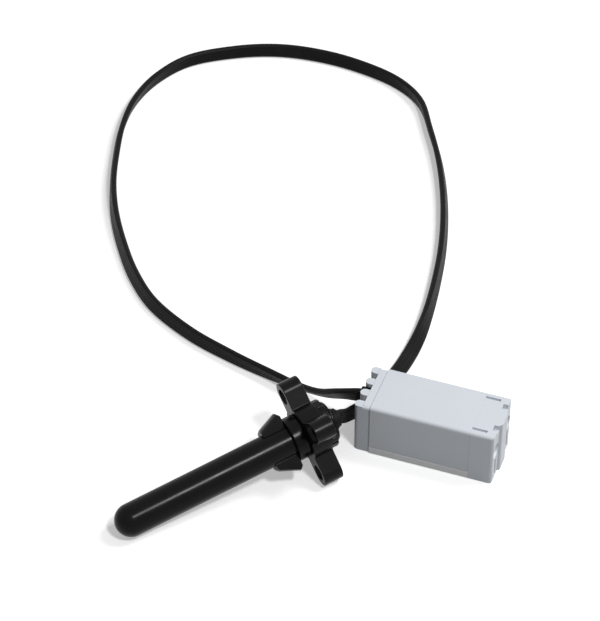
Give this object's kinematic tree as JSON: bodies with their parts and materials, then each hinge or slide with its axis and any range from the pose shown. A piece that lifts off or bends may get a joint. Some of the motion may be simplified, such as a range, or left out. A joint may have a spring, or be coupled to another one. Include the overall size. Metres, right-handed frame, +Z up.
{
  "type": "probe sensor",
  "caption": "Grey interface box with pin holes in one end, joined by a flat black lead to a round-ended black probe that carries a turning cross-shaped collar.",
  "frame": {"origin": "on the centre line of the interface box's underside, 4 mm from the middle of its base plate towards the pin holes, on the surface that the object lies on", "axes": "+X along the box towards its pin holes, +Y towards the lead's loop, +Z up"},
  "size_m": [0.2213, 0.31, 0.0338],
  "materials": {
    "shell_grey": "smooth moulded light bluish grey, soft satin sheen",
    "base_grey": "smooth moulded light bluish grey, fine satin",
    "board_green": "solder-masked laminate",
    "chip_black": "fine matt epoxy",
    "chip_body": "small ceramic parts",
    "can_metal": "drawn metal can",
    "header_ivory": "moulded ivory",
    "wire_sleeve": "extruded insulation",
    "socket_black": "moulded black",
    "contact_gold": "plated spring wire",
    "screw_steel": "plated steel",
    "soft_black": "soft matt moulded",
    "probe_black": "glossy black moulding",
    "stop_black": "glossy black moulding",
    "collar_black": "black moulding with a soft gloss",
    "bead_amber": "resin-dipped bead",
    "lead_black": "smooth extruded jacket, satin"
  },
  "bodies": {
    "sensor": {"housing_cover": "shell_grey", "housing_base": "base_grey", "pin_end_block": "shell_grey", "lead_end_cap": "shell_grey", "circuit_board": "board_green", "microcontroller": "chip_black", "amplifier_chip": "chip_black", "chip_parts": "chip_body", "storage_capacitor": "can_metal", "clock_crystal": "can_metal", "lead_header": "header_ivory", "inner_wires": "wire_sleeve", "modular_socket": "socket_black", "socket_contacts": "contact_gold", "base_screws": "screw_steel", "board_screws": "screw_steel", "lead_gland": "soft_black", "probe_tube": "probe_black", "sensing_bead": "bead_amber", "sensor_strip": "board_green", "probe_wires": "wire_sleeve", "tail_plug": "probe_black", "tapered_stop": "stop_black", "collar_sleeve": "probe_black", "grip_ring": "soft_black", "retaining_nut": "collar_black", "probe_boot": "soft_black", "lead": "lead_black"},
    "collar": {"collar": "collar_black"}
  },
  "joints": [
    {"name": "collar_turn", "type": "hinge", "parent": "sensor", "child": "collar", "pos_m": [-0.04376, -0.02428, 0.01691], "axis": [0.6552, 0.7432, 0.1352], "continuous": true}
  ]
}
